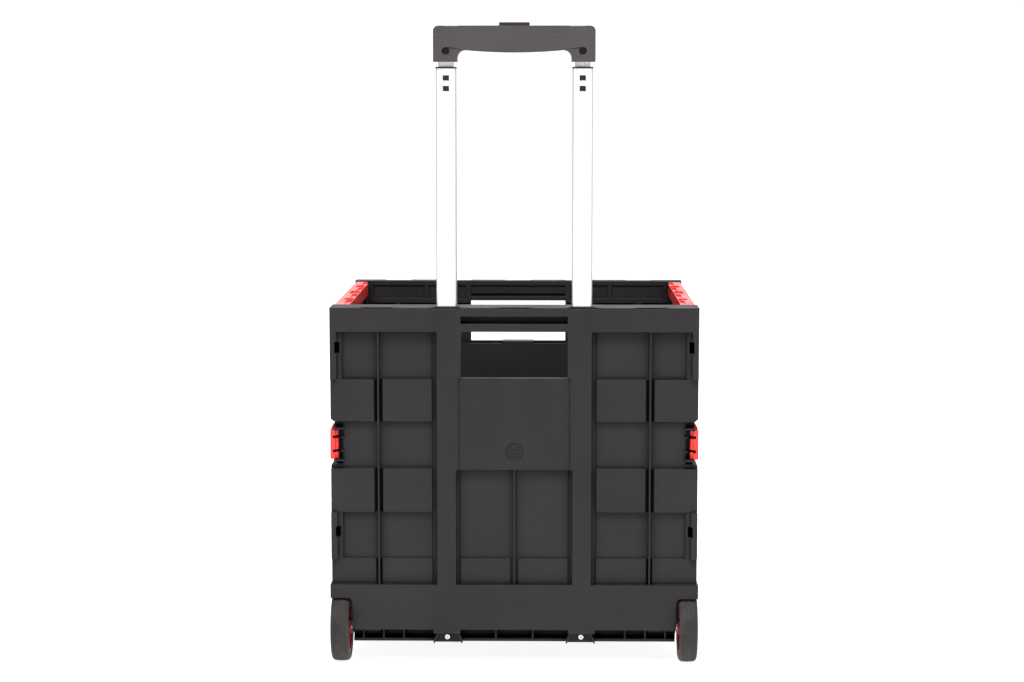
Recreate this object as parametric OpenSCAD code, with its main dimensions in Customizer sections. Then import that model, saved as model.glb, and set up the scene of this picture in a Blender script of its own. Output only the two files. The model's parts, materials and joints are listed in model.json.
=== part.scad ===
// Collapsible rolling crate with a two-stage telescopic mast.
// Units are millimetres. +Z is up, -Y is the mast side, +X is the right side seen from the mast.
// The origin is on the floor, under the centre of the whole object.

/* [Crate] */
// Overall width across the rear panel
body_w = 414; // [410:2:420]
// Depth from the rear panel's outer face to the front panel's outer face
body_d = 370; // [360:2:400]
// Height of the rim above the floor
rim_h = 408; // [404:1:412]
// Thickness of the moulded skins
skin = 2.6; // [2.2:0.1:3]
// Depth of the top rim from front to back
rim_d = 40; // [38:0.5:40.5]
// Height of the lower edge of the skirt above the floor
skirt_z = 40.6; // [40:0.2:42]

/* [Side walls] */
// Thickness of a folding side wall
side_t = 15; // [14:0.5:15]
// Radius of the hinge pins of the side walls
pin_r = 2.2; // [1.8:0.1:2.4]
// Height of the red rim caps
cap_h = 17; // [14:1:18]

/* [Wheels] */
// Tyre radius
wheel_r = 40; // [39:0.5:40]
// Tyre width
wheel_w = 20.8; // [19:0.2:21]
// Axle radius
axle_r = 4; // [3:0.5:5]

/* [Mast] */
// Distance of each mast tube from the centre plane
mast_x = 76; // [74:0.5:78]
// Height of the top of the outer tubes with the lower stage pulled out
outer_top = 675.6; // [660:0.2:680]
// Length of the outer tubes
outer_len = 369; // [360:1:369]
// Overall width of the handle
handle_w = 180; // [176:1:184]
// Height of the top of the handle
handle_top = 721; // [718:0.5:724]

/* [Hidden] */
$fn = 48;
eps = 0.01;
far = 500;
run_gap = 0.05;
gap = 0.3;
charcoal = "#3c3a3c";
signal_red = "#e0282c";

half_w = body_w / 2;
edge_x = half_w;
skirt_x = half_w + 1.5;
overhang = wheel_r - 22;
rear_y = -(body_d - overhang) / 2;

// Rear panel relief: depths below the outer face
band_d = 4;
low_band_d = 6;
recess_d = 8.5;
groove_d = 9;
panel_in = recess_d + skin;
column_d = 30;
column_in = 61;
column_out = 91.5;
face_in = 65.6;
face_out = 87;
plate_d = 2;
rim_step = 2;
field_in = 92.5;
field_out = 200;
strip_in = 194;
strip_d = 5;
field_rib_x = 153;
field_rib_t = 2;
rib_groove = 5;
band_top_z = 380.8;
bands = [[279, 326.7], [175.5, 225.2]];
low_band = [92.4, 121.7];
plate = [224.3, 328.4];
opening_x = 60;
opening_z = [328.4, 381];
grip_slot_z = [389.9, 398.2];
skirt_top = 92.4;
notch_z = [228.4, 283];

// Fold geometry
side_out = half_w - 2;
side_in = side_out - side_t;
hinge_x = half_w - 8;
hinge_y = 53;
hinge_r = 6.2;
wall_gap = 9.6;
fold_x = side_out + 0.5;
fold_r = 3.2;
fold_pin_r = 1.4;
front_t = 20;
front_in = body_d - front_t;
front_hinge_y = front_in - 9.5;
half_len = (front_hinge_y - hinge_y) / 2;
fold_y = hinge_y + half_len;
side_z = 41;
cap_z = rim_h - 0.6 - cap_h;
wheel_notch_y = 69.5;
wheel_notch_z = 84;
return_y = 43;
rear_lugs = [[90, 128], [186, 226], [285, 324], [352, 377]];
rear_wall_lugs = [[129, 185], [325, 351], [378, 387]];
front_lugs = [[67, 110], [170, 214], [300, 340]];
front_wall_lugs = [[111, 169], [215, 226], [285, 299], [341, 387]];
fold_lugs = [[70, 100], [190, 220], [330, 360]];
fold_lugs_front = [[101, 131], [221, 251], [299, 329]];

// Base panel
base_hinge_y = 37;
base_hinge_z = 32;
base_t = 12;
base_half_w = 182;
base_end = front_in - 5;
base_lug_x = [45, 105, 165];
base_lug_w = 12;
rod_r = 2;

// Wheels
wheel_in = 187;
axle_y = 22;
hub_r = 31;
boss_r = 8;
arch_top = 83;

// Mast
mast_y = 18;
outer_w = 22.8;
outer_d = 15;
tube_wall = 1.2;
inner_w = 17;
inner_d = 9.6;
inner_bottom = 385;
tube_top = 699.4;
bore_w = outer_w + 1.2;
bore_d = outer_d + 1.2;
plug_top = 38;
window_z = [651.7, 663.4];
window = [7, 6];
handle_d = 26;
leg_bottom = 681.1;
seam_z = 706;
leg_w = 26.5;
grip_edge = handle_w / 2 - leg_w;
grip_drop = 2.6;
grip_z = 694.1;
grip_r = 9;
grip_half = grip_edge - grip_r;
button_half = 17;
screw_z = 693;

// Latches
latch_x = half_w - 5.5;
latch_y = 10;
latch_z = [236, 269];
latch_end = 104;

module from_rear() { translate([0, rear_y, 0]) children(); }
module both_sides() { children(); mirror([1, 0, 0]) children(); }
module slab(x, y, z) { translate([x[0], y[0], z[0]]) cube([x[1] - x[0], y[1] - y[0], z[1] - z[0]]); }
module post(x, y, z, r) { translate([x, y, z[0]]) cylinder(h = z[1] - z[0], r = r); }
module rod_x(x, y, z, r) { translate([x[0], y, z]) rotate([0, 90, 0]) cylinder(h = x[1] - x[0], r = r); }
module rod_y(x, y, z, r) { translate([x, y[0], z]) rotate([-90, 0, 0]) cylinder(h = y[1] - y[0], r = r); }

function corner(cx, cy, r, a0, n = 4) =
  [for (i = [0:n]) [cx + r * cos(a0 + 90 * i / n), cy + r * sin(a0 + 90 * i / n)]];
function rounded_box(w, d, r) = concat(
  corner(w / 2 - r, d / 2 - r, r, 0), corner(r - w / 2, d / 2 - r, r, 90),
  corner(r - w / 2, r - d / 2, r, 180), corner(w / 2 - r, r - d / 2, r, 270));

module bar(w, d, r, z) {
  translate([0, 0, z[0]]) linear_extrude(z[1] - z[0]) polygon(rounded_box(w, d, r));
}

// A solid with an outline in X and Z, run along Y
module plate_y(outline, y) {
  translate([0, y[1], 0]) rotate([90, 0, 0]) linear_extrude(y[1] - y[0]) polygon(outline);
}
// A solid with an outline in X and Y, run along Z
module plate_z(outline, z) { translate([0, 0, z[0]]) linear_extrude(z[1] - z[0]) polygon(outline); }

/* ---- rear panel ---- */
module rib_valley() {
  // V-shaped groove on both sides of the thin rib
  plate_z([[-rib_groove, -1], [-rib_groove, band_d], [-1.6, recess_d], [1.6, recess_d],
    [rib_groove, band_d], [rib_groove, -1]], [skirt_top, band_top_z]);
}

module field_relief() {
  // Recesses, bands and the groove beside the mast column, cut into one side of the panel
  slab([field_in - eps, strip_in], [-1, recess_d], [bands[0][1], band_top_z]);
  slab([field_in - eps, far], [-1, recess_d], [bands[1][1], bands[0][0]]);
  slab([field_in - eps, strip_in], [-1, recess_d], [low_band[1], bands[1][0]]);
  slab([strip_in - eps, field_out], [-1, strip_d], [bands[0][1], band_top_z]);
  slab([strip_in - eps, field_out], [-1, strip_d], [low_band[1], bands[1][0]]);
  for (b = bands) slab([field_in, far], [-1, band_d], b);
  slab([field_in, far], [-1, low_band_d], low_band);
  slab([face_out, field_in], [-1, groove_d], [skirt_top, band_top_z]);
  translate([field_rib_x, 0, 0]) rib_valley();
}

module centre_relief() {
  slab([-column_in, column_in], [-1, recess_d], [low_band[1], plate[0]]);
  slab([-column_in, column_in], [-1, low_band_d], low_band);
  slab([-column_in - 2, column_in + 2], [-1, plate_d], [plate[0] - eps, opening_z[0] + eps]);
  both_sides() slab([column_in - eps, face_in], [-1, groove_d], [skirt_top, plate[0]]);
  for (s = [-1, 1])
    slab([s * 2.6 - 1.6, s * 2.6 + 1.6], [-1, recess_d], [skirt_top, plate[0]]);
}

module panel_ribs() {
  both_sides()
    slab([field_rib_x - field_rib_t / 2, field_rib_x + field_rib_t / 2], [1.5, panel_in],
        [skirt_top, band_top_z]);
  slab([-field_rib_t / 2, field_rib_t / 2], [3, panel_in], [skirt_top, plate[0]]);
}

module back_pockets() {
  // Pockets behind the raised areas, open to the inside of the crate
  for (x = [[field_in + skin, field_rib_x - rib_groove - skin],
      [field_rib_x + rib_groove + skin, side_in - 4]])
    for (b = bands) slab(x, [band_d + skin, panel_in + 5], [b[0] + skin, b[1] - skin]);
  for (x = [[field_in + skin, 140], [142.6, side_in - skin]])
    slab(x, [skin, rim_d + 1], [band_top_z + skin, rim_h - skin]);
}

module column_core() {
  // Solid column behind the grooves, and full depth behind the rim and the skirt
  slab([column_in, column_out], [groove_d, column_d], [plug_top - 2, rim_h]);
  slab([column_in, column_out], [0, column_d], [band_top_z, rim_h - rim_step]);
  slab([column_in, column_out], [0, column_d], [plug_top - 2, skirt_top]);
}

module rim_tooth(x) {
  // One trapezoid of the relief along the top of the rim
  translate([x, 0, 0]) plate_z([[-22.5, -0.01], [22.5, -0.01], [16, 5], [11, 6.5], [-11, 6.5], [-16, 5]],
    [rim_h - rim_step, rim_h]);
}

module rear_rim() {
  slab([-edge_x, edge_x], [0, skin], [band_top_z, rim_h - rim_step]);
  slab([-edge_x, edge_x], [0, rim_d], [rim_h - 4.6, rim_h - rim_step]);
  slab([-edge_x, edge_x], [6.5, rim_d], [rim_h - rim_step - 0.1, rim_h]);
  slab([-edge_x, edge_x], [rim_d - skin, rim_d], [rim_h - 15, rim_h - rim_step]);
  slab([-edge_x, edge_x], [0, column_d], [band_top_z, band_top_z + skin]);
  slab([-column_in, column_in], [0, 12 + skin], [grip_slot_z[0] - skin, grip_slot_z[0]]);
  slab([-column_in, column_in], [12, 12 + skin], [band_top_z, rim_h - rim_step]);
  for (x = [-191.25, -114.75, -38.25, 38.25, 114.75, 191.25])
    intersection() {
      rim_tooth(x);
      slab([-edge_x, edge_x], [-1, 10], [0, far]);
    }
  both_sides() {
    for (x = [97, 140, side_in - skin])
      slab([x, x + skin], [0, rim_d], [band_top_z, rim_h - rim_step]);
    slab([side_in, edge_x], [0, return_y - 3], [band_top_z, rim_h - rim_step]);
  }
}

module side_return() {
  // Hollow return wall that carries the rear hinge of a side wall
  back = panel_in - 1;
  for (z = [[wheel_notch_z, notch_z[0] + 1], [notch_z[1] - 1, band_top_z + 1]]) {
    slab([side_in + 0.5, side_in + 0.5 + skin], [back, return_y], z);
    slab([edge_x - skin, edge_x], [back, return_y], z);
    slab([side_in + 0.5, edge_x], [return_y - skin, return_y], z);
  }
  for (z = [wheel_notch_z, notch_z[0] - skin + 1, notch_z[1] - 1])
    slab([side_in + 0.5, edge_x], [back, return_y], [z, z + skin]);
  for (b = rear_lugs) {
    slab([hinge_x - 7.5, edge_x], [return_y - 2, hinge_y], b);
    post(hinge_x, hinge_y, b, hinge_r);
  }
}

module skirt() {
  slab([-skirt_x, skirt_x], [0, skin], [skirt_z, skirt_top]);
  slab([-skirt_x, skirt_x], [0, column_d], [skirt_top - skin, skirt_top]);
  slab([-side_in, side_in], [column_d - skin, column_d], [skirt_z, skirt_top]);
  slab([-side_in, side_in], [panel_in - skin, panel_in], [skirt_top - skin, skirt_top + 3]);
  for (x = [-21, 21, -126, 126, -149, 149, -172, 172])
    slab([x - 1, x + 1], [12, column_d], [24.5, skirt_top - 1]);
  slab([-183, 183], [12, column_d], [24.5, 28]);
  slab([-184, 184], [column_d - skin, column_d], [24.5, skirt_top]);
  both_sides() {
    slab([181.4, 184], [0, column_d], [skirt_z, skirt_top]);
    slab([184 - eps, skirt_x], [0, column_d], [arch_top, arch_top + skin]);
    slab([skirt_x - skin, skirt_x], [0, column_d], [arch_top, skirt_top]);
    slab([184 - eps, edge_x], [column_d - skin, return_y], [arch_top, arch_top + skin]);
    rod_x([152, 185.5], axle_y, 40, boss_r);
  }
}

module foot_outline(g, z0) {
  // Trapezoid around a mast column's lower end, drawn in by g
  translate([mast_x - 0.8, 0, 0])
    plate_y([[g - 16.5, z0], [16.5 - g, z0], [16.5 - g, 27], [11.5 - g * 0.7, 37.5 - g],
      [g * 0.7 - 11.5, 37.5 - g], [g - 16.5, 27]], g > 0 ? [-1, 8] : [1.5, column_d]);
}

module base_lugs() {
  for (x = base_lug_x) {
    rod_x([x - base_lug_w / 2, x + base_lug_w / 2], base_hinge_y, base_hinge_z, 5.5);
    slab([x - base_lug_w / 2, x + base_lug_w / 2], [column_d - 1, base_hinge_y],
        [base_hinge_z - 5.5, base_hinge_z + 5.5]);
  }
}

module wheel_arch() {
  // Clearance for a tyre and the rounded opening above it
  plate_y([[184, -1], [184, 72], [185.5, 75.5], [189, 76.7], [far, 76.7], [far, -1]], [-1, skin + 1]);
  slab([184, far], [skin, far], [-1, arch_top]);
}

module hinge_slots() {
  for (z = [[147, 159], [356.4, 369.2]])
    slab([196.6, 201.8], [-1, 20], z);
}

module edge_notch() {
  // Notch in the panel's edge where the latch sits
  plate_y([[edge_x + 2, notch_z[0]], [edge_x - 5, notch_z[0]], [edge_x - 6.4, notch_z[0] + 2],
    [edge_x - 6.4, notch_z[1] - 7], [edge_x + 2, notch_z[1] + 1]], [-1, return_y + 1]);
  slab([edge_x - 13.6, far], [-1, return_y + 1], [230.5, 277]);
}

module latch_ribs() {
  // Thin ears that hold the latch pin
  for (z = [234.2, 270.2])
    plate_z([[latch_x - 9.5, 0], [latch_x, 0], [latch_x + 2.5, 4], [latch_x + 2.5, 15],
        [latch_x - 9.5, 18]], [z, z + 1.6]);
  for (z = [244.5, 260.5])
    slab([latch_x - 9.5, latch_x - 6.8], [0.5, 17.5], [z, z + 1.4]);
  slab([latch_x - 9.5, latch_x + 1], [17.4, 19], [229.5, 278]);
}

module gate_mark() {
  // Round sink left by the mould's gate, with a ring in it
  translate([0, plate_d - 1, 245]) rotate([-90, 0, 0]) {
    difference() {
      cylinder(h = 2.2, r = 10);
      translate([0, 0, -1]) cylinder(h = 5, r = 5.6);
    }
    cylinder(h = 2, r = 3.6);
  }
}

module back_panel() color(charcoal) from_rear() {
  difference() {
    union() {
      difference() {
        slab([-edge_x, edge_x], [0, panel_in], [skirt_top - 1, band_top_z + 1]);
        both_sides() field_relief();
        centre_relief();
        back_pockets();
        mirror([1, 0, 0]) back_pockets();
      }
      panel_ribs();
      skirt();
      rear_rim();
      base_lugs();
      mirror([1, 0, 0]) base_lugs();
      both_sides() {
        side_return();
        column_core();
        foot_outline(0, 24.5);
      }
    }
    both_sides() {
      translate([mast_x, mast_y, 0]) bar(bore_w, bore_d, 3.2, [0, far]);
      translate([mast_x, mast_y, 0]) bar(outer_w + 5, outer_d + 4, 4, [rim_h - 14, far]);
      wheel_arch();
      hinge_slots();
      edge_notch();
      post(hinge_x, hinge_y, [wheel_notch_z, band_top_z], pin_r + run_gap);
      rod_x([100, 190], axle_y, 40, axle_r + run_gap);
      foot_outline(1.7, 20);
      rod_y(mast_x, [-1, 12], 31, 2);
    }
    gate_mark();
    rod_x([-180, 180], base_hinge_y, base_hinge_z, rod_r + run_gap);
    slab([-opening_x, opening_x], [-1, column_d + 1], opening_z);
    slab([-opening_x, opening_x], [-1, 12], grip_slot_z);
  }
  both_sides() difference() {
    latch_ribs();
    post(latch_x, latch_y, [0, far], 1.6 + run_gap);
  }
}

module base_hinge_rod() color("silver") from_rear() rod_x([-176, 176], base_hinge_y, base_hinge_z, rod_r);
// Each outer hinge turns on two pins, which leave the latch's height free
module rear_hinge_pin() color("silver") from_rear()
  for (z = [[90, 226], [285, 377]]) post(hinge_x, hinge_y, z, pin_r);
module latch_pin() color("dimgray") from_rear() post(latch_x, latch_y, [233.5, 272.5], 1.6);

module column_plug() color("#232223") from_rear() difference() {
  translate([mast_x, mast_y, 0]) bar(bore_w - 2 * run_gap, bore_d - 2 * run_gap, 3.1, [24.5, plug_top - 1]);
  rod_y(mast_x, [0, 20], 31, 1.6);
}

module cross_screw(x, y, z, r, len) {
  // Pan-head screw driven along +Y, with a cross recess
  difference() {
    union() {
      rod_y(x, [y, y + 1.8], z, r);
      rod_y(x, [y + 1.7, y + len], z, r * 0.38);
    }
    for (a = [0, 90])
      translate([x, y, z]) rotate([0, a, 0]) cube([0.7, 2, r * 1.1], center = true);
  }
}

module foot_screws() color("silver") from_rear() both_sides() cross_screw(mast_x, 6.2, 31, 2.9, 12);

module mast_bushing() color("#232223") from_rear() translate([mast_x, mast_y, 0]) difference() {
  bar(outer_w + 5 - 2 * run_gap, outer_d + 4 - 2 * run_gap, 3.9, [rim_h - 14, rim_h + 0.8]);
  bar(outer_w + 2 * gap, outer_d + 2 * gap, 3, [0, far]);
}

module axle() color("silver") from_rear() {
  rod_x([142, wheel_in + wheel_w - 2], axle_y, 40, axle_r);
  translate([wheel_in + wheel_w - 2.5, axle_y, 40]) rotate([0, 90, 0]) cylinder(h = 2, r1 = 7.5, r2 = 6);
}

module axle_clips() color("dimgray") from_rear() both_sides() difference() {
  rod_x([150.2, 151.8], axle_y, 40, 5.2);
  rod_x([140, 155], axle_y, 40, axle_r + run_gap);
}

/* ---- wheels ---- */
module tyre() color("#4a4446") from_rear() translate([wheel_in, axle_y, 40]) rotate([0, 90, 0])
  rotate_extrude() polygon(concat(
    [[hub_r, 0.5], [wheel_r - 4, 0]],
    [for (i = [0:4]) [wheel_r - 3 + 3 * sin(18 + 18 * i), 3 - 3 * cos(18 + 18 * i)]],
    [for (i = [0:4]) [wheel_r - 3 + 3 * cos(18 * i), wheel_w - 3 + 3 * sin(18 * i)]],
    [[wheel_r - 4, wheel_w], [hub_r, wheel_w - 0.5]]));

module hub() color("#8e1220") from_rear() translate([wheel_in, axle_y, 40]) rotate([0, 90,
    0]) difference() {
  union() {
    rotate_extrude() polygon([[hub_r - 3, 1], [hub_r, 1], [hub_r, wheel_w - 1], [hub_r - 3, wheel_w - 1],
      [hub_r - 3, 11], [9, 13], [9, 8], [hub_r - 3, 7]]);
    rotate_extrude() polygon([[axle_r + run_gap, -0.8], [9.5, -0.8], [9.5, wheel_w - 3],
        [axle_r + run_gap, wheel_w - 3]]);
    for (a = [0:60:300]) rotate([0, 0, a]) translate([9, -1.2, 2]) cube([hub_r - 11, 2.4, 6.5]);
  }
  for (a = [30:60:330]) rotate([0, 0, a]) translate([19, 0, -1]) cylinder(h = 30, r = 5);
}

/* ---- base panel ---- */
module base_panel() color(charcoal) from_rear() difference() {
  union() {
    slab([-base_half_w, base_half_w], [base_hinge_y + 4, base_end],
        [base_hinge_z + base_t / 2 - skin, base_hinge_z + base_t / 2]);
    for (y = [base_hinge_y + 8, base_end - skin])
      slab([-base_half_w, base_half_w], [y, y + skin], [base_hinge_z - base_t / 2,
          base_hinge_z + base_t / 2]);
    for (i = [1:6])
      slab([-base_half_w, base_half_w], [base_hinge_y + 42 * i, base_hinge_y + 42 * i + 2],
        [base_hinge_z - base_t / 2 + 1, base_hinge_z + base_t / 2]);
    for (i = [-4:4])
      slab([45 * i - 1, 45 * i + 1], [base_hinge_y + 8, base_end],
          [base_hinge_z - base_t / 2 + 1, base_hinge_z + base_t / 2]);
    both_sides() slab([base_half_w - skin, base_half_w], [base_hinge_y + 8, base_end],
      [base_hinge_z - base_t / 2, base_hinge_z + base_t / 2]);
    rod_x([-base_half_w, base_half_w], base_hinge_y, base_hinge_z, base_t / 2 - 0.2);
    slab([-base_half_w, base_half_w], [base_hinge_y, base_hinge_y + 9],
        [base_hinge_z - 3, base_hinge_z + base_t / 2 - 0.2]);
  }
  both_sides() for (x = base_lug_x)
    slab([x - base_lug_w / 2 - 0.6, x + base_lug_w / 2 + 0.6], [0, base_hinge_y + 7.6], [0, 60]);
  rod_x([-half_w, half_w], base_hinge_y, base_hinge_z, rod_r + run_gap);
  slab([-25, 25], [base_end - 40, base_end - 22], [0, 60]);
}

/* ---- side walls ---- */
module side_panel_relief(y) {
  // Bands and recesses on the outer face, between the two ends of a half
  for (z = [[bands[0][1], band_top_z - 6], [bands[1][1], bands[0][0]], [low_band[1], bands[1][0]],
      [64, low_band[0]]])
    for (i = [0:1])
      slab([side_out - recess_d, half_w], [y[0] + i * (y[1] - y[0] + 3) / 2,
          y[0] + i * (y[1] - y[0] + 3) / 2 + (y[1] - y[0] - 3) / 2], z);
  for (z = [[bands[0][0] + skin, bands[0][1] - skin], [bands[1][0] + skin, bands[1][1] - skin],
      [band_top_z - 6 + skin, cap_z - 1]])
    slab([side_in - 1, side_out - skin], y, z);
  for (z = [[bands[0][1] + 1, band_top_z - 7], [bands[1][1] + 1, bands[0][0] - 1],
      [low_band[1] + 1, bands[1][0] - 1], [65, low_band[0] - 1]])
    slab([side_in - 1, side_out - recess_d - skin], y, z);
}

// One half of a side wall, drawn at the rear: it reaches round its hinge pin at the heights in pin_lugs,
// and round the fold's pin at the heights in fold_mine. The front half is its mirror about the fold.
module side_half(pin_lugs, fold_mine, fold_other, at_rear) {
  end_y = hinge_y + wall_gap;
  difference() {
    union() {
      slab([side_in, side_out], [end_y, fold_y - 0.5], [side_z, cap_z]);
      for (z = pin_lugs) {
        slab([side_in, side_out], [hinge_y, end_y + 1], z);
        post(hinge_x, hinge_y, z, hinge_r);
      }
      for (z = fold_mine) {
        post(fold_x, fold_y, z, fold_r);
        slab([side_out - 5, side_out], [fold_y - 9, fold_y - 0.5], z);
      }
    }
    side_panel_relief([end_y + 8, fold_y - 14]);
    slab([side_in - 1, fold_x - fold_r - 0.6], [fold_y - 0.5, fold_y + 9], [0, far]);
    for (z = fold_other) slab([fold_x - fold_r - 0.6, far], [fold_y - fold_r - 0.6, far],
        [z[0] - 0.4, z[1] + 0.4]);
    post(hinge_x, hinge_y, [0, far], pin_r + run_gap);
    post(fold_x, fold_y, [0, far], fold_pin_r + run_gap);
    if (at_rear) {
      slab([latch_x - 8.5, far], [0, latch_end + 4], [notch_z[0] + 2, 280]);
      slab([side_in - 1, far], [latch_end - 8, latch_end + 2], [latch_z[0] - 2, latch_z[1] + 2]);
      slab([side_in - 1, far], [0, wheel_notch_y], [0, wheel_notch_z]);
    } else {
      slab([side_in - 1, far], [0, hinge_y + 13.5], [0, 58]);
    }
  }
  if (at_rear) {
    slab([side_in, side_in + 2.2], [end_y, latch_end - 8], [notch_z[0] - 4, 282]);
    slab([side_in, side_out - 1], [latch_end + 4.5, latch_end + 8], [notch_z[0] - 4, 282]);
  }
}

module side_rear() color(charcoal) from_rear() side_half(rear_wall_lugs, fold_lugs, fold_lugs_front, true);

module across_fold() translate([0, 2 * fold_y, 0]) mirror([0, 1, 0]) children();

module side_front() color(charcoal) from_rear() across_fold()
  side_half(front_wall_lugs, fold_lugs_front, fold_lugs, false);

module cap_waves(y, run) {
  // Raised trapezoids that give the cap's inner edge its wavy line
  plate_z([[side_in, y - 20], [side_in + 5, y - 14], [side_in + 6, y + run - 6], [side_in, y + run],
      [side_out, y + run],
    [side_out, y - 20]], [cap_z + cap_h - 2.2, cap_z + cap_h]);
}

module rim_cap_rear() color(signal_red) from_rear() difference() {
  union() {
    plate_z([[side_in, hinge_y + 2], [side_in, fold_y], [side_out + 0.2, fold_y],
      [side_out + 0.2, hinge_y - 6.5], [side_in + 4, hinge_y - 6.5]], [cap_z, cap_z + cap_h - 2]);
    for (y = [hinge_y + 14, hinge_y + 90]) cap_waves(y, 36);
    slab([side_out - 5, side_out], [hinge_y - 6, fold_y], [cap_z + cap_h - 2.2, cap_z + cap_h]);
  }
  slab([side_in + skin, side_out - skin], [hinge_y + 12, fold_y - 6], [cap_z - 1, cap_z + cap_h - 4.8]);
  post(hinge_x, hinge_y, [0, cap_z + 4], pin_r + 0.4);
  slab([0, far], [fold_y - 0.5, far], [0, far]);
}

module rim_cap_front() color(signal_red) from_rear() across_fold() difference() {
  union() {
    intersection() {
      slab([side_in, side_out + 0.2], [hinge_y - 9, fold_y], [cap_z, cap_z + cap_h - 2]);
      union() {
        slab([0, far], [hinge_y, far], [0, far]);
        post(hinge_x, hinge_y, [0, far], 9);
      }
    }
    for (y = [hinge_y + 20, hinge_y + 96]) cap_waves(y, 30);
    slab([side_out - 5, side_out], [hinge_y, fold_y], [cap_z + cap_h - 2.2, cap_z + cap_h]);
  }
  slab([side_in + skin, side_out - skin], [hinge_y + 12, fold_y - 6], [cap_z - 1, cap_z + cap_h - 4.8]);
  slab([0, far], [fold_y - 0.5, far], [0, far]);
}

module mid_hinge_pin() color("silver") from_rear() post(fold_x, fold_y, [60, 371], fold_pin_r);
module front_hinge_pin() color("silver") from_rear()
  for (z = [[67, 226], [285, 377]]) post(hinge_x, front_hinge_y, z, pin_r);

/* ---- front panel ---- */
module front_relief() {
  for (x = [[20, 92], [97, field_rib_x - 3], [field_rib_x + 3, 194]]) {
    for (z = [[bands[0][1], band_top_z], [bands[1][1], bands[0][0]], [low_band[1], bands[1][0]]])
      slab(x, [body_d - recess_d, body_d + 1], z);
    for (b = x[0] < opening_x ? [bands[1]] : bands)
      slab(x, [front_in - 1, body_d - band_d - skin], [b[0] + skin, b[1] - skin]);
    for (b = bands) slab(x, [body_d - band_d, body_d + 1], b);
    slab([x[0] + skin, x[1] - skin], [front_in - 1, body_d - skin], [skirt_z + 12, low_band[1] - skin]);
    for (z = [[bands[0][1] + 1, band_top_z - 1], [bands[1][1] + 1, bands[0][0] - 1],
        [low_band[1] + 1, bands[1][0] - 1]])
      slab(x, [front_in - 1, body_d - recess_d - skin], z);
  }
  slab([field_out - 3, edge_x - skin], [front_in - 1, body_d - skin], [skirt_z + 12, notch_z[0] - 6]);
  slab([field_out - 3, edge_x - skin], [front_in - 1, body_d - skin], [notch_z[1] + 6, band_top_z]);
}

module front_rim() {
  slab([-edge_x, edge_x], [front_in, body_d], [rim_h - 4.6, rim_h - rim_step]);
  slab([-edge_x, edge_x], [front_in, body_d - 6.5], [rim_h - rim_step - 0.1, rim_h]);
  for (x = [-191.25, -114.75, -38.25, 38.25, 114.75, 191.25])
    intersection() {
      translate([0, body_d, 0]) mirror([0, 1, 0]) rim_tooth(x);
      slab([-edge_x, edge_x], [0, body_d], [0, far]);
    }
}

module front_foot() {
  slab([184, 204], [front_in - 6, body_d - 2], [3, skirt_z]);
  slab([184, 204], [front_in, body_d - 2], [skirt_z - 1, skirt_z + 16]);
  slab([160, 204], [front_in - 6, body_d - 2], [3, 25.7]);
  slab([160, 183.9], [front_in - 20, front_in - 5], [3, 25.7]);
}

module front_panel() color(charcoal) from_rear() difference() {
  union() {
    difference() {
      slab([-edge_x, edge_x], [front_in, body_d], [skirt_z, rim_h - rim_step]);
      both_sides() front_relief();
      slab([-16, 16], [front_in - 1, body_d - skin], [skirt_z + 12, bands[0][0] - 4]);
    }
    front_rim();
    both_sides() {
      front_foot();
      for (b = front_lugs) {
        slab([hinge_x - 7.5, side_out], [front_hinge_y, front_in + 1], b);
        post(hinge_x, front_hinge_y, b, hinge_r);
      }
    }
  }
  slab([-opening_x, opening_x], [front_in - 5, body_d + 5], [331, 383]);
  slab([-opening_x, opening_x], [front_in - 1, front_in + 1.5], [391.5, 402]);
  slab([-opening_x, opening_x], [front_in - 1, front_in + 4], [388.5, 391.6]);
  both_sides() {
    for (x = [[66, 114], [119, 184]]) slab(x, [front_in - 1, front_in + 1.5], [386, 402]);
    post(hinge_x, front_hinge_y, [60, band_top_z], pin_r + run_gap);
    slab([latch_x - 9, far], [front_in - 20, body_d + 1], notch_z);
  }
}

module foot_pad() color("#232223") from_rear()
  difference() {
    union() {
      slab([161, 203], [front_in - 5, body_d - 3], [0, 3]);
      slab([161, 183], [front_in - 19, front_in - 4.9], [0, 3]);
    }
    for (i = [0:3]) slab([165 + 10 * i, 167 + 10 * i], [0, far], [-1, 0.8]);
  }

/* ---- latches ---- */
module latch() color(signal_red) from_rear() difference() {
  union() {
    post(latch_x, latch_y, latch_z, 3.4);
    plate_z([[latch_x + 0.5, latch_y - 7], [half_w + 0.6, latch_y - 5], [half_w + 0.6, latch_end],
        [latch_x + 2.5, latch_end],
      [latch_x + 2.5, latch_y + 4], [latch_x - 1, latch_y + 3]], latch_z);
    plate_z([[latch_x - 4.5, latch_end - 5], [latch_x + 3, latch_end - 5], [latch_x + 3, latch_end],
        [latch_x - 2.5, latch_end]],
      latch_z);
    plate_y([[latch_x + 2, 268], [half_w + 0.6, 268], [half_w - 1, 273], [latch_x + 2, 275.5]],
        [latch_y + 6, latch_end]);
  }
  post(latch_x, latch_y, [0, far], 1.6 + run_gap);
  for (z = [243.6, 259.6]) slab([latch_x - 9, latch_x + 3.2], [0, 20], [z, z + 3.2]);
}

/* ---- mast ---- */
module outer_tube() color("#e6e7ea") from_rear() translate([mast_x, mast_y, 0]) difference() {
  bar(outer_w, outer_d, 2.6, [outer_top - outer_len, outer_top - 1.6]);
  bar(outer_w - 2 * tube_wall, outer_d - 2 * tube_wall, 1.5, [0, 900]);
  for (z = window_z)
    translate([-window[0] / 2, -outer_d, z - window[1] / 2]) cube([window[0], outer_d, window[1]]);
}

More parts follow.
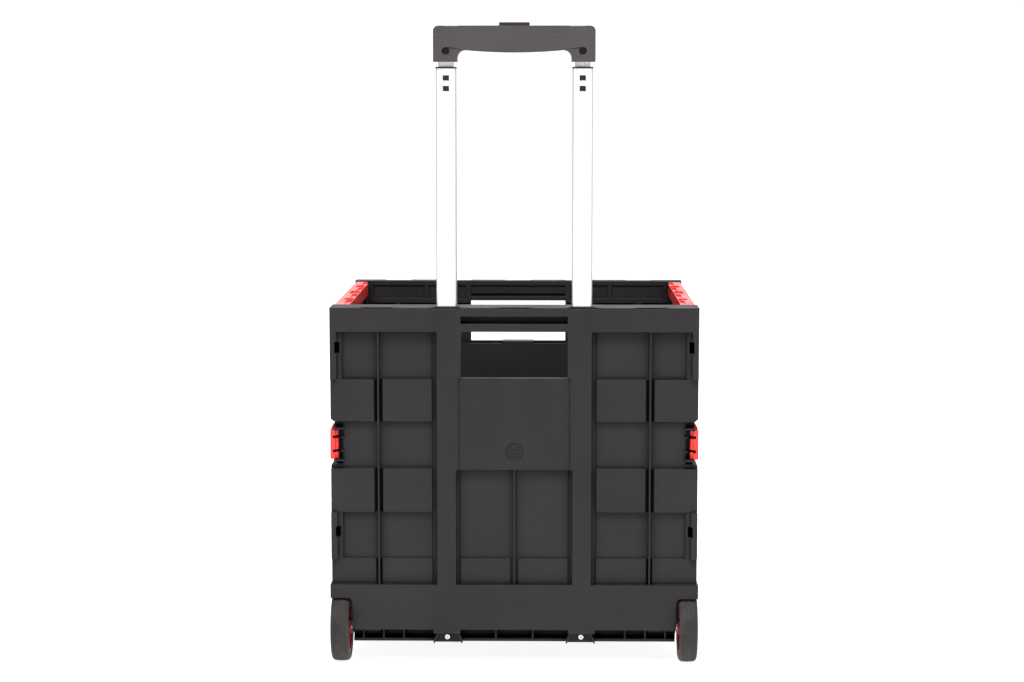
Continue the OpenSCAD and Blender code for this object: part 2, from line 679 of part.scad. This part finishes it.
module tube_collar() color("#232223") from_rear() translate([mast_x, mast_y, 0]) difference() {
  union() {
    bar(outer_w + 1, outer_d + 1, 3, [outer_top - 1.5, outer_top]);
    bar(outer_w - 2 * tube_wall - 0.1, outer_d - 2 * tube_wall - 0.1, 1.4, [outer_top - 30, outer_top - 1]);
    for (z = window_z)
      translate([0.1 - window[0] / 2, 0.5 - outer_d / 2, z + 0.1 - window[1] / 2])
        cube([window[0] - 0.2, outer_d / 2 - inner_d / 2 - 1, window[1] - 0.2]);
  }
  bar(inner_w + 2 * gap, inner_d + 2 * gap, 1.6, [0, 900]);
}

module outer_guide() color("#232223") from_rear() translate([mast_x, mast_y, 0]) {
  difference() {
    bar(bore_w - 2 * gap, bore_d - 2 * gap, 3, [outer_top - outer_len - 6, outer_top - outer_len - 0.1]);
    bar(12, 6, 1, [0, 900]);
  }
  difference() {
    bar(outer_w - 2 * tube_wall - 0.2, outer_d - 2 * tube_wall - 0.2, 1.4,
        [outer_top - outer_len - 0.2, outer_top - outer_len + 16]);
    bar(12, 6, 1, [0, 900]);
  }
}

module inner_tube() color("#e6e7ea") from_rear() translate([mast_x, mast_y, 0]) difference() {
  bar(inner_w, inner_d, 1.8, [inner_bottom, tube_top]);
  bar(inner_w - 2, inner_d - 2, 1, [0, 900]);
  translate([0, 0, screw_z]) rotate([90, 0, 0]) cylinder(h = 40, r = 1.7, center = true);
}

module inner_guide() color("#232223") from_rear() translate([mast_x, mast_y, 0]) {
  difference() {
    union() {
      bar(outer_w - 2 * tube_wall - 2 * gap, outer_d - 2 * tube_wall - 2 * gap, 1.4,
          [inner_bottom - 14, inner_bottom - 0.1]);
      bar(inner_w - 2.2, inner_d - 2.2, 0.9, [inner_bottom - 1, inner_bottom + 12]);
    }
    bar(4, 4, 0.8, [inner_bottom - 6, 900]);
  }
}

function grip_under(x) = grip_z - grip_drop * (1 - pow(x / grip_half, 2));

module handle_profile() {
  // Outline from the rear: two legs, a grip that bows down between them and rounded outer corners
  polygon(concat(
    [[-handle_w / 2, leg_bottom], [-grip_edge, leg_bottom]],
    [for (i = [0:6]) [-grip_half - grip_r * cos(15 * i), grip_z - grip_r + grip_r * sin(15 * i)]],
    [for (i = [-5:5]) [i * grip_half / 6, grip_under(i * grip_half / 6)]],
    [for (i = [6:-1:0]) [grip_half + grip_r * cos(15 * i), grip_z - grip_r + grip_r * sin(15 * i)]],
    [[grip_edge, leg_bottom], [handle_w / 2, leg_bottom]],
    [for (i = [0:5]) [handle_w / 2 - 6 + 6 * cos(18 * i), handle_top - 6 + 6 * sin(18 * i)]],
    [for (i = [0:5]) [-handle_w / 2 + 6 - 6 * sin(18 * i), handle_top - 6 + 6 * cos(18 * i)]]));
}

module handle_solid(z) intersection() {
  translate([0, mast_y + handle_d / 2, 0]) rotate([90, 0, 0]) linear_extrude(handle_d) handle_profile();
  slab([-far, far], [-far, far], z);
}

module button_hole(g) {
  slab([-button_half - g, button_half + g], [mast_y - 6 - g, mast_y + 6 + g], [seam_z - 6, handle_top + 5]);
}

module handle_body() color("#4a484a") from_rear() difference() {
  handle_solid([leg_bottom - 1, seam_z]);
  both_sides() {
    translate([mast_x, mast_y, 0]) bar(inner_w + 0.1, inner_d + 0.1, 1.8, [0, tube_top + 0.1]);
    rod_y(mast_x, [mast_y - handle_d / 2 - 1, mast_y], screw_z, 1.7);
    rod_y(mast_x, [mast_y - handle_d / 2 - 1, mast_y - handle_d / 2 + 2.4], screw_z, 4.2);
    slab([-1, mast_x + 4], [mast_y - 3, mast_y + 3], [seam_z - 6, seam_z + 1]);
    slab([mast_x - 2.5, mast_x + 2.5], [mast_y - 2.5, mast_y + 2.5], [seam_z - 12, seam_z]);
  }
  button_hole(0.4);
  for (s = [-1, 1]) post(s * 11, mast_y, [seam_z - 10, seam_z], 2.8);
}

module handle_cover() color("#4a484a") from_rear() difference() {
  handle_solid([seam_z + 0.02, handle_top + 1]);
  button_hole(0.4);
  both_sides() {
    slab([-1, mast_x + 4], [mast_y - 3, mast_y + 3], [seam_z - 6, seam_z + 2]);
    for (i = [0:5]) slab([62 + 3 * i, 63 + 3 * i], [0, 40], [handle_top - 0.8, handle_top + 1]);
  }
}

module handle_screws() color("silver") from_rear() both_sides()
  cross_screw(mast_x, mast_y - handle_d / 2 + 0.6, screw_z, 3.9, 9);

module release_button() color("#232223") from_rear() {
  slab([-button_half, button_half], [mast_y - 6, mast_y + 6], [seam_z + 3, handle_top + 3.8]);
  slab([-mast_x - 2, mast_x + 2], [mast_y - 2.2, mast_y + 2.2], [seam_z - 0.4, seam_z + 1.2]);
  slab([-button_half, button_half], [mast_y - 2.2, mast_y + 2.2], [seam_z, seam_z + 3.1]);
}

module pushrod() color("silver") from_rear() post(mast_x, mast_y, [inner_bottom + 4, seam_z - 0.4], 1.5);

module button_springs() color("silver") from_rear() for (s = [-1, 1])
  translate([s * 11, mast_y, seam_z - 9.8]) difference() {
    cylinder(h = 9.2, r = 2.4);
    translate([0, 0, -1]) cylinder(h = 12, r = 1.6);
  }

back_panel();
base_hinge_rod();
mirror([1, 0, 0]) rear_hinge_pin();  // rear_hinge_pin_left
rear_hinge_pin();  // rear_hinge_pin_right
mirror([1, 0, 0]) column_plug();  // column_plug_left
column_plug();  // column_plug_right
foot_screws();
mirror([1, 0, 0]) mast_bushing();  // mast_bushing_left
mast_bushing();  // mast_bushing_right
mirror([1, 0, 0]) axle();  // axle_left
axle();  // axle_right
axle_clips();
mirror([1, 0, 0]) latch_pin();  // latch_pin_left
latch_pin();  // latch_pin_right
mirror([1, 0, 0]) tyre();  // tyre_left
mirror([1, 0, 0]) hub();  // hub_left
tyre();  // tyre_right
hub();  // hub_right
base_panel();
mirror([1, 0, 0]) side_rear();  // side_rear_left
side_rear();  // side_rear_right
mirror([1, 0, 0]) side_front();  // side_front_left
side_front();  // side_front_right
mirror([1, 0, 0]) rim_cap_rear();  // rim_cap_rear_left
rim_cap_rear();  // rim_cap_rear_right
mirror([1, 0, 0]) rim_cap_front();  // rim_cap_front_left
rim_cap_front();  // rim_cap_front_right
mirror([1, 0, 0]) mid_hinge_pin();  // mid_hinge_pin_left
mid_hinge_pin();  // mid_hinge_pin_right
front_panel();
mirror([1, 0, 0]) front_hinge_pin();  // front_hinge_pin_left
front_hinge_pin();  // front_hinge_pin_right
mirror([1, 0, 0]) foot_pad();  // foot_pad_left
foot_pad();  // foot_pad_right
mirror([1, 0, 0]) latch();  // latch_left
latch();  // latch_right
mirror([1, 0, 0]) outer_tube();  // outer_tube_left
outer_tube();  // outer_tube_right
mirror([1, 0, 0]) tube_collar();  // tube_collar_left
tube_collar();  // tube_collar_right
mirror([1, 0, 0]) outer_guide();  // outer_guide_left
outer_guide();  // outer_guide_right
mirror([1, 0, 0]) inner_tube();  // inner_tube_left
inner_tube();  // inner_tube_right
mirror([1, 0, 0]) inner_guide();  // inner_guide_left
inner_guide();  // inner_guide_right
handle_body();
handle_cover();
handle_screws();
release_button();
mirror([1, 0, 0]) pushrod();  // pushrod_left
pushrod();  // pushrod_right
button_springs();
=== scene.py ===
"""Rolling tool box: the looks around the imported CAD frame. Lengths are metres, in the row's frame."""

import json
import math

import bmesh
import bpy
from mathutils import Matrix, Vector


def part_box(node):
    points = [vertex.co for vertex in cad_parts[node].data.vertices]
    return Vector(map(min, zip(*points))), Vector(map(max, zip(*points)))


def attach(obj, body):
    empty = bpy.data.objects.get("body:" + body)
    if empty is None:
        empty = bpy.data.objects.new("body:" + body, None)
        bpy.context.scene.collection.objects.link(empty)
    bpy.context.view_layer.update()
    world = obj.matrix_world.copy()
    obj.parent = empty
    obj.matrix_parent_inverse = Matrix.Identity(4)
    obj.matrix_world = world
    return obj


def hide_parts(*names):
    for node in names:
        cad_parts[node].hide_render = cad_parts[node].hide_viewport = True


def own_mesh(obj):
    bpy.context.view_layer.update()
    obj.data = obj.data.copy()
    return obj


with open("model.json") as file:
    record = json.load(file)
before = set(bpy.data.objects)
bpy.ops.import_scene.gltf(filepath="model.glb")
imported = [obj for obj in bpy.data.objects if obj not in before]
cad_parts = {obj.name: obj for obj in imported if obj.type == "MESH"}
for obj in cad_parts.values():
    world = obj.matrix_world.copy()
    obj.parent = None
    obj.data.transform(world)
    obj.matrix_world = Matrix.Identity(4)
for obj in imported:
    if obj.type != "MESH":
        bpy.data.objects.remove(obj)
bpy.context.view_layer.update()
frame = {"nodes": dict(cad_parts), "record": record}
MM = 0.001
SIDES = {"left": -1, "right": 1}


# ---------------------------------------------------------------- materials
class Nodes:
    """A short way to build one material's node tree."""

    def __init__(self, name):
        self.material = bpy.data.materials.new(name)
        self.material.use_nodes = True
        self.tree = self.material.node_tree
        self.shader = self.tree.nodes["Principled BSDF"]
        self.place = self.add("ShaderNodeTexCoord").outputs["Object"]

    def add(self, kind, **values):
        node = self.tree.nodes.new(kind)
        for key, value in values.items():
            setattr(node, key, value)
        return node

    def link(self, a, b):
        self.tree.links.new(a, b)

    def noise(self, scale, detail=2.0, stretch=None, roughness=0.5):
        node = self.add("ShaderNodeTexNoise")
        node.inputs["Scale"].default_value = scale
        node.inputs["Detail"].default_value = detail
        node.inputs["Roughness"].default_value = roughness
        source = self.place
        if stretch:
            mapping = self.add("ShaderNodeMapping")
            mapping.inputs["Scale"].default_value = stretch
            self.link(source, mapping.inputs["Vector"])
            source = mapping.outputs["Vector"]
        self.link(source, node.inputs["Vector"])
        return node.outputs["Fac"]

    def span(self, value, low, high, to_low, to_high):
        node = self.add("ShaderNodeMapRange")
        for socket, number in zip(("From Min", "From Max", "To Min", "To Max"), (low, high, to_low, to_high)):
            node.inputs[socket].default_value = number
        self.link(value, node.inputs["Value"])
        return node.outputs["Result"]

    def mix(self, factor, colour_a, colour_b):
        node = self.add("ShaderNodeMix", data_type="RGBA")
        self.link(factor, node.inputs["Factor"])
        for socket, colour in ((node.inputs[6], colour_a), (node.inputs[7], colour_b)):
            if hasattr(colour, "links"):
                self.link(colour, socket)
            else:
                socket.default_value = (*colour, 1)
        return node.outputs[2]

    def painted_crease_shade(self, colour, dark):
        """The colour, darkened in inner corners by painted shade from an ambient occlusion node."""
        near = self.add("ShaderNodeAmbientOcclusion", samples=6)
        near.inputs["Distance"].default_value = 0.014
        return self.mix(self.span(near.outputs["AO"], 0.45, 0.95, 0, 1), dark, colour)

    def bump(self, height, strength, distance, under=None):
        node = self.add("ShaderNodeBump")
        node.inputs["Strength"].default_value = strength
        node.inputs["Distance"].default_value = distance
        self.link(height, node.inputs["Height"])
        if under:
            self.link(under, node.inputs["Normal"])
        return node.outputs["Normal"]


def scaled(colour, k):
    return tuple(min(1, c * k) for c in colour)


def moulded_plastic(name, colour, rough, grain=0.25, specular=0.5, mottle=0.16, corner_shade_tone=0.2):
    """Injection-moulded plastic: flow streaks, faint mottling, a fine spark-eroded grain, light scuffs and
    painted shade in inner corners.
    """
    n = Nodes(name)
    broad = n.span(n.noise(9, 4), 0.3, 0.7, 0, 1)
    streaks = n.span(n.noise(38, 3, stretch=(1, 1, 0.12)), 0.35, 0.65, 0, 1)
    tone = n.mix(broad, scaled(colour, 1 - mottle), scaled(colour, 1 + mottle))
    tone = n.mix(n.span(streaks, 0, 1, 0, 0.35), tone, scaled(colour, 1 + 1.4 * mottle))
    scuffs = n.span(n.noise(210, 5, stretch=(1, 1, 0.3), roughness=0.7), 0.66, 0.78, 0, 0.22)
    tone = n.mix(scuffs, tone, scaled(colour, 2.1))
    # Painted shade: the base colour darkens in inner corners that ambient occlusion finds.
    n.link(n.painted_crease_shade(tone, scaled(colour, corner_shade_tone)), n.shader.inputs["Base Color"])
    n.link(n.span(n.noise(26, 3), 0.3, 0.7, rough - 0.05, rough + 0.06), n.shader.inputs["Roughness"])
    n.shader.inputs["Specular IOR Level"].default_value = specular
    fine = n.bump(n.noise(2600, 2), grain, 0.00012)
    n.link(n.bump(n.noise(55, 2), 0.12, 0.0006, under=fine), n.shader.inputs["Normal"])
    return n.material


def tyre_rubber():
    n = Nodes("tyre_rubber")
    tone = n.mix(n.span(n.noise(60, 4), 0.3, 0.7, 0, 1), (0.022, 0.019, 0.019), (0.038, 0.033, 0.032))
    dust = n.span(n.noise(420, 4), 0.6, 0.75, 0, 0.5)
    n.link(n.mix(dust, tone, (0.10, 0.088, 0.082)), n.shader.inputs["Base Color"])
    n.link(n.span(n.noise(90, 3), 0.3, 0.7, 0.6, 0.78), n.shader.inputs["Roughness"])
    n.shader.inputs["Specular IOR Level"].default_value = 0.3
    n.link(n.bump(n.noise(1500, 3), 0.3, 0.0002), n.shader.inputs["Normal"])
    return n.material


def brushed_metal(name, colour, rough, stretch, aniso=0.5):
    """Drawn or turned metal: fine lines along its length and slight tonal drift."""
    n = Nodes(name)
    lines = n.noise(900, 3, stretch=stretch)
    tone = n.mix(n.span(lines, 0.3, 0.7, 0, 1), scaled(colour, 0.93), scaled(colour, 1.04))
    n.link(tone, n.shader.inputs["Base Color"])
    n.shader.inputs["Metallic"].default_value = 1
    n.link(n.span(lines, 0.3, 0.7, rough - 0.05, rough + 0.07), n.shader.inputs["Roughness"])
    n.shader.inputs["Anisotropic"].default_value = aniso
    n.link(n.bump(lines, 0.08, 0.00008), n.shader.inputs["Normal"])
    return n.material


def satin_tube():
    """Brushed aluminium with a painted reflection: its rounded sides, found by surface direction, are painted
    darker and bluer than its flat faces.
    """
    n = Nodes("satin_aluminium")
    lines = n.noise(900, 3, stretch=(1, 1, 0.01))
    face = n.mix(n.span(lines, 0.3, 0.7, 0, 1), (0.75, 0.75, 0.755), (0.80, 0.80, 0.805))
    split = n.add("ShaderNodeSeparateXYZ")
    n.link(n.place.node.outputs["Normal"], split.inputs[0])
    sideways = n.add("ShaderNodeMath", operation="ABSOLUTE")
    n.link(split.outputs["X"], sideways.inputs[0])
    # Painted reflection: rounded sides that face sideways take a darker, bluer colour.
    painted_side_reflection = n.span(sideways.outputs[0], 0.3, 0.75, 0, 1)
    n.link(n.mix(painted_side_reflection, face, (0.36, 0.37, 0.43)), n.shader.inputs["Base Color"])
    n.shader.inputs["Metallic"].default_value = 0.45
    n.link(n.span(lines, 0.3, 0.7, 0.26, 0.36), n.shader.inputs["Roughness"])
    n.shader.inputs["Anisotropic"].default_value = 0.3
    n.link(n.bump(lines, 0.08, 0.00008), n.shader.inputs["Normal"])
    return n.material


MATERIALS = {
    "body": moulded_plastic("charcoal_plastic", (0.0178, 0.0160, 0.0169), 0.48, specular=0.16),
    "trim": moulded_plastic("black_plastic", (0.009, 0.009, 0.0095), 0.42, grain=0.12, specular=0.3,
                            mottle=0.1),
    "handle": moulded_plastic("handle_plastic", (0.040, 0.034, 0.037), 0.46, grain=0.2, specular=0.4,
                              mottle=0.08),
    "red": moulded_plastic("red_plastic", (0.78, 0.022, 0.020), 0.3, grain=0.1, specular=0.5, mottle=0.05,
                           corner_shade_tone=0.8),
    "hub": moulded_plastic("hub_plastic", (0.36, 0.004, 0.014), 0.36, grain=0.1, mottle=0.08, corner_shade_tone=0.5),
    "pad": moulded_plastic("pad_rubber", (0.02, 0.02, 0.02), 0.75, grain=0.4, specular=0.3),
    "tyre": tyre_rubber(),
    "steel": brushed_metal("zinc_steel", (0.62, 0.62, 0.63), 0.32, (1, 1, 0.2)),
    "tube": satin_tube(),
}
BLACKENED = brushed_metal("blackened_steel", (0.022, 0.022, 0.024), 0.4, (1, 1, 0.2), aniso=0.2)
# The latch and rear hinge pins take the blackened steel as a dark stand-in for the shade in the latch slots,
# where nothing bright shows. Their real finish is not known.
FINISH = {"release_button": MATERIALS["handle"], "handle_screws": BLACKENED, "latch_pin_left": BLACKENED,
          "latch_pin_right": BLACKENED, "rear_hinge_pin_left": BLACKENED, "rear_hinge_pin_right": BLACKENED}
SLOT_OF = {part["node"]: part["material_slot"] for part in frame["record"]["subparts"]}


# ---------------------------------------------------------------- carried-over CAD nodes
BEVELS = {"body": 0.5, "trim": 0.3, "handle": 0.5, "red": 0.5, "hub": 0.4, "pad": 0.5, "tyre": 0.5,
          "steel": 0.25, "tube": 0.12}


def soften(node, width):
    """Rounds a CAD node's edges with modifiers; its own mesh stays as it is."""
    weld = node.modifiers.new("weld", "WELD")
    weld.merge_threshold = 0.00002
    flat = node.modifiers.new("flat", "DECIMATE")
    flat.decimate_type = "DISSOLVE"
    flat.angle_limit = math.radians(0.2)
    split = node.modifiers.new("split", "TRIANGULATE")
    split.ngon_method = "BEAUTY"
    bevel = node.modifiers.new("round", "BEVEL")
    bevel.width = width
    bevel.segments = 2
    bevel.limit_method = "ANGLE"
    bevel.angle_limit = math.radians(28)
    bevel.use_clamp_overlap = False
    weighted = node.modifiers.new("weighted", "WEIGHTED_NORMAL")
    weighted.keep_sharp = False
    weighted.weight = 100


for name, node in frame["nodes"].items():
    slot = SLOT_OF[name]
    node.data.materials.clear()
    node.data.materials.append(FINISH.get(name, MATERIALS[slot]))
    soften(node, BEVELS[slot] * MM)


# ---------------------------------------------------------------- pieces made here
def piece(name, mesh, slot, body, *nodes):
    """A finished Blender piece: its material slot, the body it rides on and the CAD nodes it stands for."""
    made = bpy.data.objects.new(name, mesh)
    bpy.context.collection.objects.link(made)
    mesh.materials.append(MATERIALS[slot])
    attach(made, body)
    if nodes:
        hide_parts(*nodes)
    return made


def lathe(name, outline, centre, sign, steps=128):
    """A closed mesh turned about the X axis from (offset outwards, radius) points."""
    bm = bmesh.new()
    rings = []
    for i in range(steps):
        a = 2 * math.pi * i / steps
        c, s = math.cos(a), math.sin(a)
        rings.append([bm.verts.new((centre[0] + sign * x, centre[1] + r * c, centre[2] + r * s))
                      for x, r in outline])
    count = len(outline)
    for i in range(steps):
        one, two = rings[i], rings[(i + 1) % steps]
        for j in range(count):
            k = (j + 1) % count
            bm.faces.new((one[j], one[k], two[k], two[j]))
    bmesh.ops.recalc_face_normals(bm, faces=bm.faces)
    mesh = bpy.data.meshes.new(name)
    bm.to_mesh(mesh)
    bm.free()
    for face in mesh.polygons:
        face.use_smooth = True
    return mesh


def tyre_outline(width, radius, inner):
    """Section of a tyre: a crowned tread with fine grooves, round shoulders and flat side walls."""
    groove, depth, shoulder, grooves = 0.9 * MM, 0.7 * MM, 3.2 * MM, 6
    points = [(0.5 * MM, inner), (0.2 * MM, inner + 3 * MM), (0, radius - 1.3 * shoulder)]
    points += [(shoulder * (1 - math.cos(a)), radius - 1.2 * MM - shoulder + shoulder * math.sin(a))
               for a in (math.radians(15 * i) for i in range(1, 6))]
    first, last = shoulder + 0.6 * MM, width - shoulder - 0.6 * MM
    for i in range(grooves):
        x = first + (last - first) * i / (grooves - 1)
        crown = radius - 1.1 * MM * (2 * x / width - 1) ** 2
        points += [(x - groove, crown), (x - groove / 2, crown - 0.15 * MM), (x - groove / 3, crown - depth),
                   (x + groove / 3, crown - depth), (x + groove / 2, crown - 0.15 * MM), (x + groove, crown)]
    points += [(width - shoulder * (1 - math.cos(a)), radius - 1.2 * MM - shoulder + shoulder * math.sin(a))
               for a in (math.radians(15 * i) for i in range(5, 0, -1))]
    points += [(width, radius - 1.3 * shoulder), (width - 0.2 * MM, inner + 3 * MM)]
    return points + [(width - 0.5 * MM, inner)]


for side, sign in SIDES.items():
    low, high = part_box("tyre_" + side)
    near = min(abs(low[0]), abs(high[0]))
    width = high[0] - low[0]
    radius = (high[2] - low[2]) / 2
    centre = (sign * near, (low[1] + high[1]) / 2, (low[2] + high[2]) / 2)
    hub_low, hub_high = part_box("hub_" + side)
    outline = tyre_outline(width, radius, (hub_high[2] - hub_low[2]) / 2)
    mesh = lathe("grooved_tyre_" + side, outline, centre, sign)
    piece("grooved_tyre_" + side, mesh, "tyre", "wheel_" + side, "tyre_" + side)


def coils(name, centres, bottom, top, radius, wire=0.32 * MM, turns=5):
    """Coil springs side by side, from bottom to top, each a wire wound round its centre."""
    steps, sides = 20 * turns, 6
    verts, faces = [], []
    for x, y in centres:
        base = len(verts)
        for i in range(steps + 1):
            a = 2 * math.pi * turns * i / steps
            z = bottom + wire + (top - bottom - 2 * wire) * i / steps
            for j in range(sides):
                b = 2 * math.pi * j / sides
                r = radius - wire + wire * math.cos(b)
                verts.append((x + r * math.cos(a), y + r * math.sin(a), z + wire * math.sin(b)))
        for i in range(steps):
            for j in range(sides):
                k = (j + 1) % sides
                one, two = base + i * sides, base + (i + 1) * sides
                faces.append((one + j, two + j, two + k, one + k))
        last = base + steps * sides
        faces += [tuple(base + j for j in range(sides)), tuple(last + j for j in reversed(range(sides)))]
    mesh = bpy.data.meshes.new(name)
    mesh.from_pydata(verts, [], faces)
    for face in mesh.polygons:
        face.use_smooth = len(face.vertices) == 4
    return mesh


low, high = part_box("button_springs")
coil_r = (high[1] - low[1]) / 2
middle_y = (low[1] + high[1]) / 2
centres = [(low[0] + coil_r, middle_y), (high[0] - coil_r, middle_y)]
wound = coils("coil_springs", centres, low[2], high[2], coil_r)
springs = piece("coil_springs", wound, "steel", "mast_upper", "button_springs")
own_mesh(springs)


# ---------------------------------------------------------------- floor, light and camera
def paper():
    n = Nodes("studio_paper")
    n.link(n.mix(n.noise(3, 2), (0.70, 0.70, 0.705), (0.73, 0.73, 0.735)), n.shader.inputs["Base Color"])
    n.shader.inputs["Roughness"].default_value = 0.9
    n.shader.inputs["Specular IOR Level"].default_value = 0.1
    n.shader.inputs["Emission Color"].default_value = (1, 1, 1, 1)
    n.shader.inputs["Emission Strength"].default_value = 0.9
    return n.material


def studio_floor():
    mesh = bpy.data.meshes.new("studio_floor")
    half = 300
    corners = [(-half, -half, 0), (half, -half, 0), (half, half, 0), (-half, half, 0)]
    mesh.from_pydata(corners, [], [(0, 1, 2, 3)])
    mesh.materials.append(paper())
    floor = bpy.data.objects.new("studio_floor", mesh)
    bpy.context.collection.objects.link(floor)


def soft_box(name, place, size, watts, target=(0, 0, 0.3)):
    light = bpy.data.lights.new(name, "AREA")
    light.shape = "RECTANGLE"
    light.size, light.size_y = size
    light.energy = watts
    lamp = bpy.data.objects.new(name, light)
    lamp.location = place
    lamp.rotation_euler = (Vector(target) - Vector(place)).to_track_quat("-Z", "Y").to_euler()
    bpy.context.collection.objects.link(lamp)


studio_floor()
soft_box("key_left", (-1.5, -2.0, 2.9), (0.9, 0.9), 45)
soft_box("fill_right", (2.2, -2.4, 2.2), (1.4, 1.4), 22)
soft_box("top", (0.1, -1.6, 3.2), (0.9, 0.9), 125)
soft_box("back", (0.4, 3.0, 1.8), (2.4, 1.6), 14)
world = bpy.data.worlds.new("studio")
world.use_nodes = True
sky = world.node_tree
backdrop = sky.nodes["Background"]
backdrop.inputs["Color"].default_value = (1, 1, 1, 1)
# White at eye level behind the tool box, where the backdrop stands, and dimmer overhead and in front
split = sky.nodes.new("ShaderNodeSeparateXYZ")
sky.links.new(sky.nodes.new("ShaderNodeTexCoord").outputs["Generated"], split.inputs[0])
strength = None
for axis, numbers in (("Z", (0.10, 0.35, 1.16, 0.3)), ("Y", (-0.55, 0.0, 0.34, 1.0))):
    fade = sky.nodes.new("ShaderNodeMapRange")
    for socket, number in zip(("From Min", "From Max", "To Min", "To Max"), numbers):
        fade.inputs[socket].default_value = number
    sky.links.new(split.outputs[axis], fade.inputs["Value"])
    if strength:
        both = sky.nodes.new("ShaderNodeMath")
        both.operation = "MULTIPLY"
        sky.links.new(strength, both.inputs[0])
        sky.links.new(fade.outputs["Result"], both.inputs[1])
        strength = both.outputs[0]
    else:
        strength = fade.outputs["Result"]
sky.links.new(strength, backdrop.inputs["Strength"])
bpy.context.scene.world = world
bpy.context.scene.view_settings.view_transform = "Standard"

camera = bpy.data.cameras.new("camera")
camera.lens = 80.17
camera.sensor_width = 36
camera.clip_end = 60
eye = bpy.data.objects.new("camera", camera)
eye.location = (0.0369, -2.7122, 0.6586)
eye.rotation_euler = (math.radians(90 - 6.472), 0, math.radians(0.887))
bpy.context.collection.objects.link(eye)
bpy.context.scene.camera = eye
